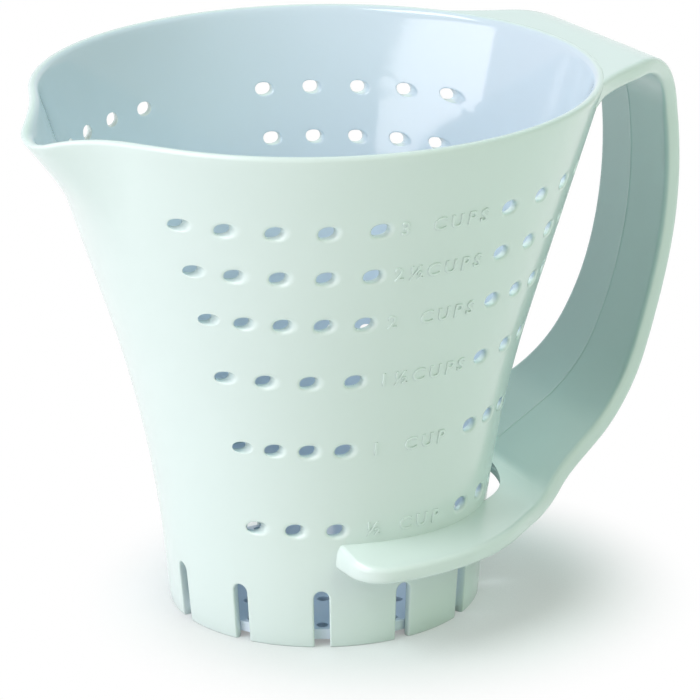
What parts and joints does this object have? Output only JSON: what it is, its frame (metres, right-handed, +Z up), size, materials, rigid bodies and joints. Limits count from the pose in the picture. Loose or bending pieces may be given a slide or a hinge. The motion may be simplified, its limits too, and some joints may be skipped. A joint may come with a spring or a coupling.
{
  "type": "measuring colander",
  "caption": "Flared measuring colander cup with a pouring spout, holes in rows through its wall, a slotted foot, a perforated floor and a wide ribbon handle that ends in a collar.",
  "frame": {"origin": "centre of the circle that the foot stands on: the cup's axis at the table's height", "axes": "+Z up along the cup's axis, +X towards the handle, so the spout points along -X; Y is across, and the part is its own mirror image in Y"},
  "size_m": [0.1705, 0.1368, 0.1306],
  "materials": {
    "mint_plastic": "glossy"
  },
  "bodies": {
    "root": {"strainer_wall": "mint_plastic", "foot_ring": "mint_plastic", "drain_floor": "mint_plastic", "ribbon_handle": "mint_plastic", "wall_collar": "mint_plastic"}
  },
  "joints": []
}
